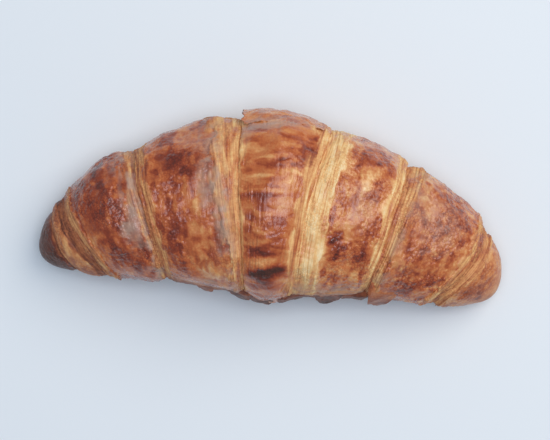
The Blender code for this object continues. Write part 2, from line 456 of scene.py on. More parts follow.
def add_node(
    tree: Tree,
    kind: str,
    values: dict[int | str, object] | None = None,
    links: dict[int | str, Socket] | None = None,
    **settings: object,
) -> bpy.types.Node:
    """Adds a shader node.

    Args:
        tree: The node tree.
        kind: The node's type, without the words ShaderNode.
        values: Values of its inputs, by name or number.
        links: Output sockets that feed its inputs, by name or number.
        **settings: Properties of the node itself.

    Returns:
        The node.
    """
    node = tree.nodes.new("ShaderNode" + kind)
    for name, value in settings.items():
        setattr(node, name, value)
    for name, value in (values or {}).items():
        node.inputs[name].default_value = value
    for name, socket in (links or {}).items():
        tree.links.new(socket, node.inputs[name])
    return node


@dataclass(frozen=True)
class Sources:
    """What the crust's nodes start from: its marks, places in space, and the pattern of threads."""

    tree: Tree
    marks: dict[str, Socket]
    place: Socket
    threads: Socket


@dataclass(frozen=True)
class CrustFinish:
    """Egg-washed laminated dough, baked brown: glassy over the blisters, matt where the wash missed."""

    # The eye gets a patchy amber to mahogany skin with small bright glints, and straw-coloured layers.
    # Dried egg wash has an IOR of about 1.4 and roughness of 0.15 to 0.3; bare baked dough is rougher.

    name: str = "egg_washed_crust"
    # Colours by how brown the crust is: under the wash, and bare
    washed: tuple[tuple[float, str], ...] = (
        (0.00, "#f0cf9c"),
        (0.15, "#e3ad72"),
        (0.30, "#cf8750"),
        (0.45, "#b96233"),
        (0.60, "#964121"),
        (0.75, "#6e2a18"),
        (0.88, "#482014"),
        (1.00, "#141011"),
    )
    bare: tuple[tuple[float, str], ...] = (
        (0.00, "#f2d9aa"),
        (0.18, "#e8bb7c"),
        (0.36, "#d0905a"),
        (0.55, "#a9633c"),
        (0.75, "#78412a"),
        (1.00, "#2a1a16"),
    )
    steam_and_sheen_color: str = "#b59a88"  # pale skin from the steam over the brown, partly a painted sheen where the glaze reflects the sky
    steam_and_sheen_share: float = 0.75
    speckle: float = 0.09  # how much a fine grain shifts the bake
    speckle_size: float = 0.7 * MM
    thread: float = 0.12  # how much the threads of the layers shift the bake
    thread_size: float = 0.34 * MM  # a baked layer is 0.1 to 0.3 mm thick, just too fine to show
    thread_length: float = 9 * MM
    thread_height: float = 0.1 * MM
    blister_size: float = 1.1 * MM  # real ones go down to 0.3 mm, too fine to show
    blister_height: float = 0.42 * MM
    gap_width: float = 0.16  # of the painted shade line in the crevices between blisters, in blisters
    gap_shade: float = 0.08  # how much darker the painted shade makes it
    pore_size: float = 0.45 * MM  # coarser than real pores, which are too fine to show
    pore_height: float = 0.05 * MM
    washed_roughness: float = 0.22
    bare_roughness: float = 0.62
    dull: float = 0.30  # how much the roughness comes and goes
    dull_size: float = 5 * MM
    ior: float = 1.42
    coat: float = 0.40
    coat_roughness: float = 0.13

    def material(self) -> bpy.types.Material:
        """Makes the material.

        Returns:
            The material, which reads the crust's marks and its flow from the mesh.
        """
        made = bpy.data.materials.new(self.name)
        made.use_nodes = True
        tree = made.node_tree
        shader = tree.nodes["Principled BSDF"]
        marks = {mark: add_node(tree, "Attribute", attribute_name=mark).outputs["Fac"] for mark in MARKS}
        flow = add_node(tree, "Attribute", attribute_name="flow").outputs["Vector"]
        place = add_node(tree, "TexCoord").outputs["Object"]
        use = Sources(tree, marks, place, self.threads(tree, flow))
        # How much pale skin covers the brown: partly skin from the steam, partly a painted sheen
        film = add_node(tree, "Math", {1: self.steam_and_sheen_share}, {0: marks["steam_and_sheen"]}, operation="MULTIPLY")
        film = film.outputs[0]
        color = self.color(use, self.level(use), film)
        roughs = {"To Min": self.bare_roughness, "To Max": self.washed_roughness}
        rough = add_node(tree, "MapRange", roughs, {0: marks["glaze"]})
        dull = add_node(tree, "TexNoise", {"Scale": 1 / self.dull_size, "Detail": 3.0}, {"Vector": flow})
        rough = self.shift(tree, rough.outputs[0], dull.outputs["Fac"], self.dull)
        normal = self.bumps(use)
        sockets = {0: marks["glaze"], 1: film}
        wash = add_node(tree, "Math", links=sockets, operation="SUBTRACT", use_clamp=True)
        wash = add_node(tree, "Math", {1: self.coat}, {0: wash.outputs[0]}, operation="MULTIPLY")
        feeds = {
            "Base Color": color,
            "Roughness": rough,
            "Normal": normal,
            "Coat Normal": normal,
            "Coat Weight": wash.outputs[0],
        }
        for name, socket in feeds.items():
            tree.links.new(socket, shader.inputs[name])
        shader.inputs["IOR"].default_value = self.ior
        shader.inputs["Coat Roughness"].default_value = self.coat_roughness
        return made

    def level(self, use: Sources) -> Socket:
        """Adds a fine grain, threads, and a painted shade in the crevices between blisters, to how brown
        the crust is.

        Args:
            use: What the nodes start from.

        Returns:
            How brown it is in the end.
        """
        tree, marks, place = use.tree, use.marks, use.place
        sizes = {"Scale": 1 / self.speckle_size, "Detail": 3.0}
        grit = add_node(tree, "TexNoise", sizes, {"Vector": place})
        level = self.shift(tree, marks["bake"], grit.outputs["Fac"], self.speckle)
        thready = add_node(tree, "Math", links={0: use.threads, 1: marks["layer"]}, operation="MULTIPLY")
        level = self.shift(tree, level, thready.outputs[0], self.thread, middle=0.25)
        # A painted shade in the crevices between the blisters' domes
        sizes = {"Scale": 1 / self.blister_size}
        border = add_node(tree, "TexVoronoi", sizes, {"Vector": place}, feature="DISTANCE_TO_EDGE")
        sizes = {"From Max": self.gap_width, "To Min": 1.0, "To Max": 0.0}
        gap = add_node(tree, "MapRange", sizes, {0: border.outputs["Distance"]})
        gap = add_node(tree, "Math", links={0: gap.outputs[0], 1: marks["blister"]}, operation="MULTIPLY")
        return self.shift(tree, level, gap.outputs[0], self.gap_shade, middle=0.3)

    def color(self, use: Sources, level: Socket, film: Socket) -> Socket:
        """Turns how brown the crust is into its colour.

        Args:
            use: What the nodes start from.
            level: How brown it is.
            film: How much of the pale skin from the steam, partly a painted sheen, hides the brown.

        Returns:
            The colour.
        """
        tree = use.tree
        tones = []
        for stops in (self.bare, self.washed):
            node = add_node(tree, "ValToRGB", links={0: level})
            elements = node.color_ramp.elements
            while len(elements) < len(stops):
                elements.new(0.5)
            for element, (place, color) in zip(elements, stops):
                element.position = place
                element.color = linear(color)
            tones.append(node.outputs["Color"])
        sockets = {0: use.marks["glaze"], 6: tones[0], 7: tones[1]}
        brown = add_node(tree, "Mix", links=sockets, data_type="RGBA")
        # Mixes in the pale skin, which is partly a painted sheen
        sockets = {0: film, 6: brown.outputs[2]}
        return add_node(tree, "Mix", {7: linear(self.steam_and_sheen_color)}, sockets, data_type="RGBA").outputs[2]

    def shift(
        self, tree: Tree, level: Socket, pattern: Socket, amount: float, middle: float = 0.5
    ) -> Socket:
        """Moves a level up and down.

        Args:
            tree: The node tree.
            level: The level.
            pattern: The pattern that moves it.
            amount: By how much the pattern moves it when it is 0.5 off its middle.
            middle: Where the pattern leaves the level as it is.

        Returns:
            The moved level.
        """
        centred = add_node(tree, "Math", {1: middle}, {0: pattern}, operation="SUBTRACT")
        sockets = {0: centred.outputs[0], 2: level}
        return add_node(tree, "Math", {1: 2 * amount}, sockets, operation="MULTIPLY_ADD").outputs[0]

    def threads(self, tree: Tree, flow: Socket) -> Socket:
        """Draws fine threads that run round the roll, as the layers show at a cut.

        Args:
            tree: The node tree.
            flow: Distances along and round the roll.

        Returns:
            The threads' pattern, 0 to 1.
        """
        across, along = 1 / self.thread_size, 1 / self.thread_length
        scaled = add_node(tree, "Mapping", {"Scale": (across, along, along)}, {"Vector": flow})
        pattern = add_node(tree, "TexNoise", {"Scale": 1.0, "Detail": 2.0}, {"Vector": scaled.outputs[0]})
        return pattern.outputs["Fac"]

    def bumps(self, use: Sources) -> Socket:
        """Raises blisters and pores in the skin, and threads in the layers.

        Args:
            use: What the nodes start from.

        Returns:
            The bumped normal.
        """
        tree, place = use.tree, use.place
        sizes = {"Scale": 1 / self.blister_size}
        blister = add_node(tree, "TexVoronoi", sizes, {"Vector": place}, feature="SMOOTH_F1")
        sockets = {0: blister.outputs["Distance"]}
        dome = add_node(tree, "Math", {1: -self.blister_height}, sockets, operation="MULTIPLY")
        sockets = {0: dome.outputs[0], 1: use.marks["blister"]}
        over = add_node(tree, "Math", links=sockets, operation="MULTIPLY")
        pore = add_node(tree, "TexNoise", {"Scale": 1 / self.pore_size, "Detail": 4.0}, {"Vector": place})
        height = over.outputs[0]
        for pattern, depth in ((pore.outputs["Fac"], self.pore_height), (use.threads, self.thread_height)):
            sockets = {0: pattern, 2: height}
            height = add_node(tree, "Math", {1: depth}, sockets, operation="MULTIPLY_ADD").outputs[0]
        bumped = add_node(tree, "Bump", {"Strength": 1.0, "Distance": 1.0}, {"Height": height})
        return bumped.outputs["Normal"]


@dataclass
class Zone:
    """A grid of places on the crust, rows along the spine and columns round the section.

    Attributes:
        s: Arc length of each place.
        angle: Angle of each place, from +Y over the top.
        fall: Extra depth where the grid goes under a cover or round an edge.
        ends: Distance of each place from the left and right edges, inside them.
        lines: The same from the edges' lines, without their nibbles.
        base: Points of the smooth body.
        flow: Distances along and round the roll.
        away: 0 at the seam under the piece, 1 clear of it.
    """

    s: np.ndarray
    angle: np.ndarray
    fall: np.ndarray
    ends: tuple[np.ndarray, np.ndarray]
    lines: tuple[np.ndarray, np.ndarray]
    base: np.ndarray = field(init=False)
    flow: np.ndarray = field(init=False)
    away: np.ndarray = field(init=False)

    # Angles from the seam where the relief starts and is whole
    SEAM = (math.radians(4), math.radians(24))

    def __post_init__(self) -> None:
        """Works out the points of the smooth body and the distances along and round it."""
        self.base = FORM.point(self.s, self.angle, np.zeros_like(self.s))
        around = (self.angle - math.pi / 2) * FORM.width_at(self.s)
        self.flow = stack(self.s, around, 0 * around)
        self.away = window(math.pi - np.abs(self.angle - math.pi / 2), *self.SEAM)


@dataclass
class Crust:
    """What lies over the smooth body at each place of a zone.

    Attributes:
        height: Height over the body.
        bake: How brown, 0 to 1.
        glaze: How much egg wash.
        layer: How much of the cut layers shows.
        steam_and_sheen: How much of a pale skin that the steam left on the dough hides the brown, partly a
            painted sheen.
        blister: How much of the finest blisters.
    """

    height: np.ndarray
    bake: np.ndarray
    glaze: np.ndarray
    layer: np.ndarray
    steam_and_sheen: np.ndarray
    blister: np.ndarray


def make_skin(name: str, points: np.ndarray, crust: Crust, flow: np.ndarray) -> bpy.types.Object:
    """Shapes a grid primitive into a closed skin, and keeps its finish on its points.

    Args:
        name: The piece's name.
        points: Rows of points; the first and last columns meet, and the end rows close up.
        crust: The finish at each point.
        flow: Distances along and round the roll at each point.

    Returns:
        The piece, welded, with its faces outwards and shaded smooth.
    """
    rows, around = points.shape[:2]
    bpy.ops.object.select_all(action="DESELECT")
    bpy.ops.mesh.primitive_grid_add(x_subdivisions=around - 1, y_subdivisions=rows - 1, size=1)
    piece = bpy.context.object
    piece.name = piece.data.name = name
    piece.data.vertices.foreach_set("co", points.astype(np.float32).ravel())
    for mark in MARKS:
        kept = piece.data.attributes.new(mark, "FLOAT", "POINT")
        kept.data.foreach_set("value", np.clip(getattr(crust, mark), 0, 1).astype(np.float32).ravel())
    kept = piece.data.attributes.new("flow", "FLOAT_VECTOR", "POINT")
    kept.data.foreach_set("vector", flow.astype(np.float32).ravel())
    bpy.ops.object.mode_set(mode="EDIT")
    bpy.ops.mesh.select_all(action="SELECT")
    bpy.ops.mesh.remove_doubles(threshold=WELD)
    bpy.ops.mesh.normals_make_consistent(inside=False)
    bpy.ops.object.mode_set(mode="OBJECT")
    bpy.ops.object.shade_smooth()
    return piece


def dress(piece: bpy.types.Object, material: bpy.types.Material) -> bpy.types.Object:
    """Gives a piece of the croissant its finish and its place in the model.

    Args:
        piece: The piece.
        material: Its material.

    Returns:
        The same piece.
    """
    piece.data.materials.append(material)
    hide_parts(NODE)
    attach(piece, BODY)
    log.info("%s: %d faces", piece.name, len(piece.data.polygons))
    return piece


@dataclass
class Turn:
    """One stretch of a turn of the roll, as a closed skin of fine crust.

    Attributes:
        name: The piece's name.
        number: The turn's number from the outermost, which seeds its unevenness.
        left: Its left end.
        right: Its right end.
        swell: How far its middle stands over its ends.
        bake: How brown its washed crust is, 0 to 1.
        darkest: How brown it gets where nothing burnt it.
        washed: How much of it the egg wash reached.
        streaky: Share of its patches that run along the spine and not round the roll.
        wrinkled: How deep fine wrinkles run round the roll.
        patchy: How uneven the browning is.
        grainy: How much fine blisters and specks it has.
        film: How high up the front its dull grey film, partly a painted sheen, reaches, as a share of the
            height.
        spots: Patches that baked more or less.
        steam_and_sheen_spots: Patches of pale skin from the steam, partly a painted sheen.
    """

    name: str
    number: float
    left: Rim
    right: Rim
    swell: float = 0.9 * MM
    bake: float = 0.60
    darkest: float = 0.80
    washed: float = 1.0
    streaky: float = 0.5
    wrinkled: float = 0.10 * MM
    patchy: float = 1.0
    grainy: float = 1.0
    film: float = 0.66
    spots: tuple[Spot, ...] = ()
    steam_and_sheen_spots: tuple[Spot, ...] = ()
    spacing: float = 0.36 * MM  # of the mesh
    edge_spacing: float = 0.16 * MM  # of the mesh beside an edge
    edge_reach: float = 5 * MM
    step_ramp: float = 6 * MM  # over which the crust sinks towards a cover
    cut_width: float = 4.5 * MM  # over which it sinks towards a cut
    cut_fall: float = 0.3 * MM
    lump_size: float = 14 * MM
    lump_height: float = 1.3 * MM
    crinkle_size: float = 5.5 * MM
    crinkle_height: float = 0.6 * MM
    swirl: float = 1.6 * MM  # how far streaks are bent aside
    blister_size: float = 1.9 * MM
    floor_rounding: float = 0.7 * MM  # of the lower rim
    skin: float = 0.16 * MM  # how far the washed skin stands over the bare layers

    # Rows beyond a cut edge: distance back under it, and depth
    CUT_WALL = ((0.1 * MM, -0.7 * MM), (0.35 * MM, -1.3 * MM), (0.7 * MM, -3.2 * MM), (0.7 * MM, -8 * MM))
    # Rows beyond a covered end: distance on under the cover, and depth
    COVER_WALL = ((0.9 * MM, -0.5 * MM), (1.8 * MM, -2.0 * MM), (3 * MM, -5 * MM), (4.5 * MM, -9 * MM))
    ROUND_SHARE = 0.93  # length round a section over that of a circle as wide
    COVERED_START = 0.9 * MM  # how far under the cover's line the fine rows begin
    FIT = (1 * MM, 5 * MM)  # from a cover's line: where its crinkles start to fade, and over what
    SHARP = (0.15 * MM, 0.3 * MM)  # a band's sharpest border: how far in it starts, and its width
    COVER_SHADE = 0.3 * MM  # width of the painted shade line along a cover
    PALE_BORDER = 1.2 * MM  # width of the paler skin beside a band
    STEAM_AND_SHEEN_REACH = 2.2 * MM  # width of the pale skin from the steam beside a band, partly a painted sheen
    DEEP_WRINKLE = 0.2 * MM
    BUBBLE_REACH = 0.62  # of a blister from its centre, in its size
    DARK_LIMIT = 12  # how sharply the browning stops at the darkest
    TRAY_BAKE = 0.78

    # Patterns of the crust; those over the flow give sizes along the spine and round the roll
    SWIRL = Pattern(6 * MM, 2)
    STREAK_ALONG = Pattern((7.5 * MM, 2.3 * MM, 2.8 * MM), 0)
    STREAK_ROUND = Pattern((2.3 * MM, 8 * MM, MM), 8)
    PATCH = Pattern(9 * MM, 11)
    ISLAND = Pattern(4.2 * MM, 17)
    FINE = Pattern(1.5 * MM, 41)
    SPECKS = Pattern(0.8 * MM, 47)
    FRAY = (
        (1, Pattern((5 * MM, 8 * MM, MM), 61)),
        (0.45, Pattern((1.6 * MM, 3.2 * MM, MM), 67)),
        (0.25, Pattern((0.6 * MM, 1.6 * MM, MM), 69)),
    )
    FOLDS = Pattern((1.25 * MM, 7 * MM, MM), 71)
    FOLDED = Pattern(8 * MM, 73)
    DEEP = Pattern((20 * MM, 6 * MM, MM), 77)
    SOFT = Pattern((4 * MM, 6 * MM, MM), 79)
    TOASTED = Pattern((2.5 * MM, 9 * MM, MM), 83)
    MOTTLED = Pattern(1.4 * MM, 87)
    RAGGED = Pattern((5 * MM, 5 * MM, 3 * MM), 97)
    CREASES = Pattern((8 * MM, 4 * MM, 1.4 * MM), 101)
    SLOW = Pattern(10 * MM, 107)
    STREAK_SEED, WISP_SEED, BUBBLE_SEED, VEIL_SEED, PATCH_VEIL_SEED = 23, 37, 53, 91, 5

    def build(self, material: bpy.types.Material) -> bpy.types.Object:
        """Makes the piece and dresses it.

        Args:
            material: The crust's material.

        Returns:
            The finished object, at the origin.
        """
        zone = self.lay_out()
        crust = self.crust(zone)
        points = FORM.point(zone.s, zone.angle, crust.height + zone.fall)
        points[..., 2] = (points[..., 2] + np.hypot(points[..., 2], self.floor_rounding)) / 2
        points[0] = points[0].mean(axis=0)
        points[-1] = points[-1].mean(axis=0)
        return dress(make_skin(self.name, points, crust, zone.flow), material)

    def spread(self, length: float) -> np.ndarray:
        """Spaces the rows, closer together beside an edge or a tip.

        Args:
            length: Mean length of the stretch.

        Returns:
            Places of the rows, 0 to 1.
        """
        t = np.linspace(0, length, 400)
        pitch = np.full_like(t, self.spacing)
        for rim, away in ((self.left, t), (self.right, length - t)):
            reach = max(rim.band + 2 * MM, self.edge_reach)
            near = 1 - smooth((away - 0.7 * reach) / reach)
            if rim.bound is Bound.TIP:
                pitch = np.minimum(pitch, 0.05 * MM + away / 6)
            else:
                pitch = np.minimum(pitch, self.spacing + (self.edge_spacing - self.spacing) * near)
        total = np.cumsum(1 / pitch) * (t[1] - t[0])
        total -= total[0]
        count = int(total[-1] / COARSE) + 2
        return np.interp(np.linspace(0, 1, count), total / total[-1], t / length)

    def lay_out(self) -> Zone:
        """Lays out the grid of places that the piece's skin goes through.

        Returns:
            The grid, with the rows that close it at its ends.
        """
        tips = {self.left: FORM.left_tip, self.right: FORM.right_tip}
        sides = ((self.left, 1), (self.right, -1))
        middle = np.mean([rim.edge.place if rim.edge else tips[rim][1] for rim, _ in sides])
        around = 2 * math.pi * FORM.width_at(middle) * self.ROUND_SHARE / self.spacing / COARSE
        angle = np.linspace(-math.pi / 2, 1.5 * math.pi, int(around) + 1)
        lines, starts = [], []
        for rim, sign in sides:
            if rim.edge is None:
                line = np.full_like(angle, tips[rim][1] + sign * FORM.tip_opening)
                start = line
            else:
                line = rim.edge.line(angle)
                start = line + rim.edge.nibbles(angle)
                if rim.bound is Bound.COVERED:
                    start = line - sign * self.COVERED_START
            lines.append(line)
            starts.append(start)
        rows = self.spread(float(np.mean(starts[1] - starts[0])))
        s = starts[0] + (starts[1] - starts[0]) * rows[:, None]
        fall = np.zeros_like(s)
        for (rim, sign), start in zip(sides, starts):
            if rim.bound is Bound.TIP:
                continue
            wall = self.CUT_WALL if rim.bound is Bound.CUT else self.COVER_WALL
            back = np.array([w[0] for w in wall])[:, None] * (sign if rim.bound is Bound.CUT else -sign)
            depth = np.array([w[1] for w in wall])[:, None] + 0 * start
            if sign > 0:
                s = np.concatenate([(start + back)[::-1], s])
                fall = np.concatenate([depth[::-1], fall])
            else:
                s = np.concatenate([s, start + back])
                fall = np.concatenate([fall, depth])
        s = np.concatenate([s[:1], s, s[-1:]])
        fall = np.concatenate([fall[:1], fall, fall[-1:]])
        inner = np.clip(s, starts[0], starts[1])
        cut = list(lines)
        for i, (rim, _) in enumerate(sides):
            if rim.bound is Bound.CUT:
                cut[i] = starts[i]
        ends = (np.maximum(inner - cut[0], 0), np.maximum(cut[1] - inner, 0))
        return Zone(s, np.broadcast_to(angle, s.shape), fall, ends, (inner - lines[0], lines[1] - inner))

    def crust(self, zone: Zone) -> Crust:
        """Works out the relief and the finish.

        Args:
            zone: The grid of places.

        Returns:
            What lies over the smooth body at each place.
        """
        length = np.maximum(zone.lines[0] + zone.lines[1], MM)
        height = self.swell * np.sin(math.pi * np.clip(zone.lines[0] / length, 0, 1))
        height += self.lump_height * grain(zone.base, self.lump_size, 0.0)
        height += self.crinkle_height * self.crinkles(zone)
        blank = np.zeros_like(height)
        crust = Crust(height, blank + self.bake, blank + self.washed, blank, blank.copy(), blank.copy())
        self.brown(zone, crust)
        for rim, out, line in zip((self.left, self.right), zone.ends, zone.lines):
            if rim.bound is not Bound.TIP:
                self.edge(zone, crust, rim, out, line)
        for one in self.spots:
            crust.bake += one.change * one.weight(zone.base)
        # Pale patches of skin from the steam, partly a painted sheen of reflected sky
        for one in self.steam_and_sheen_spots:
            uneven = 0.7 + 0.6 * self.streaks(zone, self.PATCH_VEIL_SEED)
            crust.steam_and_sheen += one.change * one.weight(zone.base) * uneven
        self.weather(zone, crust)
        return crust

    def crinkles(self, zone: Zone) -> np.ndarray:
        """Crinkles the turn, near a cover's edge as the cover does, so that they fit.

        Args:
            zone: The grid of places.

        Returns:
            The unevenness at each place, about -1 to 1.
        """
        crinkle = grain(zone.base, self.crinkle_size, self.number)
        for rim, line in zip((self.left, self.right), zone.lines):
            if rim.bound is Bound.COVERED:
                under = 1 - smooth((line - self.FIT[0]) / self.FIT[1])
                crinkle += under * (grain(zone.base, self.crinkle_size, rim.edge.turn) - crinkle)
        return crinkle

    def streaks(self, zone: Zone, seed: float) -> np.ndarray:
        """Draws swirled streaks that run partly along the spine and partly round the roll.

        Args:
            zone: The grid of places.
            seed: Which pattern.

        Returns:
            The streaks at each place, about -1 to 1.
        """
        number = self.number + seed
        swirl = self.swirl * self.SWIRL.over(zone.base, number)[..., None]
        along = self.STREAK_ALONG.over(zone.base + swirl, number)
        round_it = self.STREAK_ROUND.over(zone.flow + swirl, number) * zone.away
        return self.streaky * along + (1 - self.streaky) * round_it

    def brown(self, zone: Zone, crust: Crust) -> None:
        """Bakes and blisters the washed skin.

        Args:
            zone: The grid of places.
            crust: What lies over the body so far, which is changed.
        """
        patch = self.PATCH.over(zone.base, self.number)
        island = self.ISLAND.over(zone.base, self.number)
        streak = self.streaks(zone, self.STREAK_SEED)
        wisp = self.streaks(zone, self.WISP_SEED)
        fine = self.FINE.over(zone.base, self.number)
        specks = self.SPECKS.over(zone.base, self.number)
        bubbles = cells(zone.base, self.blister_size, self.number + self.BUBBLE_SEED)
        blistered = window(patch + 0.5 * island, -0.25, 0.25)
        dome = np.maximum(0, self.BUBBLE_REACH - bubbles) * blistered
        folds = self.FOLDS.over(zone.flow, self.number) * zone.away
        folds = (1 - 3.2 * np.abs(folds)) * window(self.FOLDED.over(zone.base, self.number), -0.2, 0.3)
        pale = window(wisp + 0.06 * fine, 0.13, 0.20)
        dark = window(streak + 0.5 * island + 0.06 * fine, 0.06, 0.24)
        # How much browner each makes the crust
        bake = 0.15 * patch + 0.20 * streak - 0.10 * pale + 0.12 * dark - 0.02
        bake += self.grainy * (0.04 * fine + 0.07 * specks + 0.12 * (0.3 - bubbles) * blistered)
        crust.bake += self.patchy * bake - 0.04 * folds * (self.wrinkled / self.DEEP_WRINKLE)
        # How much higher each makes it
        relief = 0.42 * MM * patch + 0.2 * MM * streak + 0.09 * MM * pale - 0.1 * MM * dark
        relief += self.grainy * (0.11 * MM * fine + 0.42 * MM * dome) + self.wrinkled * folds
        room = (self.darkest - crust.bake) * self.DARK_LIMIT
        crust.bake = self.darkest - np.logaddexp(0, room) / self.DARK_LIMIT
        crust.height += (relief + self.skin) * zone.away
        crust.blister = 0.7 * self.grainy * (0.25 + 0.75 * blistered)

    def edge(self, zone: Zone, crust: Crust, rim: Rim, out: np.ndarray, line: np.ndarray) -> None:
        """Shapes one end, and lays the bare layers beside it.

        Args:
            zone: The grid of places.
            crust: What lies over the body so far, which is changed.
            rim: The end.
            out: Distance from the end.
            line: Distance from the end's line, without its nibbles.
        """
        if rim.bound is Bound.CUT:
            t = np.clip(1 - out / rim.lip, 0.0, 1.0)
            crust.height -= rim.lip * (1 - np.sqrt(1 - t * t))
            crust.height -= self.cut_fall * smooth(1 - out / self.cut_width)
        else:
            deep = 1 + 1.1 * self.DEEP.over(zone.flow, self.number)
            crust.height -= rim.step * deep * zone.away * (1 - smooth(out / self.step_ramp))
        width = rim.band_at(zone.angle)
        fray = sum(share * pattern.over(zone.flow, self.number) for share, pattern in self.FRAY)
        inside = line - width + 2 * rim.fray * fray
        soft = window(self.SOFT.over(zone.flow, self.number), -0.2, 0.3)
        bare = 1 - smooth((inside + self.SHARP[0]) / (self.SHARP[1] + rim.fade * soft))
        around = zone.flow[..., 1]
        seed = self.number + rim.band / MM
        height, tone = rim.leaves.lay(line / width * rim.band, around, rim.band, seed)
        toasted = self.TOASTED.over(zone.flow, self.number)
        mottled = self.MOTTLED.over(zone.base, self.number)
        level = rim.band_bake + tone + 0.14 * toasted + 0.08 * mottled
        # A painted shade darkens the layers along a cover's edge
        if rim.bound is Bound.COVERED:
            level += 0.06 * fade_out(out, self.COVER_SHADE)
        crust.height += bare * (height + 0.12 * MM * mottled - self.skin) * zone.away
        crust.bake += bare * (level - crust.bake)
        crust.bake -= (1 - bare) * 0.10 * fade_out(np.abs(inside), self.PALE_BORDER)
        crust.glaze *= 1 - bare * (1 - 0.7 * window(toasted, 0.05, 0.3))
        crust.layer = np.maximum(crust.layer, bare)
        # Pale skin from the steam along the band's border, partly a painted sheen
        skinned = window(self.streaks(zone, self.VEIL_SEED), -0.15, 0.25)
        crust.steam_and_sheen += rim.steam_and_sheen * fade_out(np.abs(inside), self.STEAM_AND_SHEEN_REACH) * skinned

    def weather(self, zone: Zone, crust: Crust) -> None:
        """Leaves the steep sides dull, greys the front with a pale skin that is partly a painted sheen, and
        browns what lies low.

        Args:
            zone: The grid of places.
            crust: What lies over the body so far, which is changed.
        """
        z = zone.base[..., 2]
        level = z / FORM.height_at(zone.s)
        ragged = self.RAGGED.over(zone.base, self.number)
        slow = self.SLOW.over(zone.base, self.number)
        creases = self.CREASES.over(zone.base, self.number)
        flank = 1 - window(z + 5 * MM * ragged, 7 * MM, 17 * MM)
        crust.glaze *= 1 - 0.4 * flank
        crust.bake += flank * ((0.95 * self.bake - crust.bake) * 0.5 + 0.12 * creases)
        # The grey film of the front, partly a painted sheen where the steep side reflects the sky, over the
        # dark lower half that only its edge shows from above
        front = window(-np.cos(zone.angle), 0.3, 0.6)
        top = level - 0.14 * slow - 0.10 * ragged
        film = front * (1 - window(top, self.film - 0.14, self.film + 0.06))
        seen = window(level - 0.10 * ragged - 0.12 * slow, 0.38, 0.62)
        under = window(level, 0.12, 0.40)
        goal = 0.68 + 0.16 * under - 0.24 * seen
        crust.glaze *= 1 - 0.6 * film
        crust.bake += film * ((goal - crust.bake) * (0.8 - 0.4 * seen) + 0.14 * creases)
        crust.height += film * (0.35 * MM * creases + 0.25 * MM * ragged) * zone.away
        # The film's pale skin, partly a painted sheen of the sky
        crust.steam_and_sheen += film * seen * (0.44 + 0.8 * creases + 0.3 * ragged)
        # The rim that met the baking tray, and the burnt spots, which are matt
        tray = 1 - window(z + 1.5 * MM * ragged, 0.8 * MM, 4.5 * MM)
        crust.bake += tray * (self.TRAY_BAKE - crust.bake)
        crust.steam_and_sheen *= 1 - tray
        crust.glaze *= 1 - 0.5 * window(crust.bake, 0.86, 1.0)


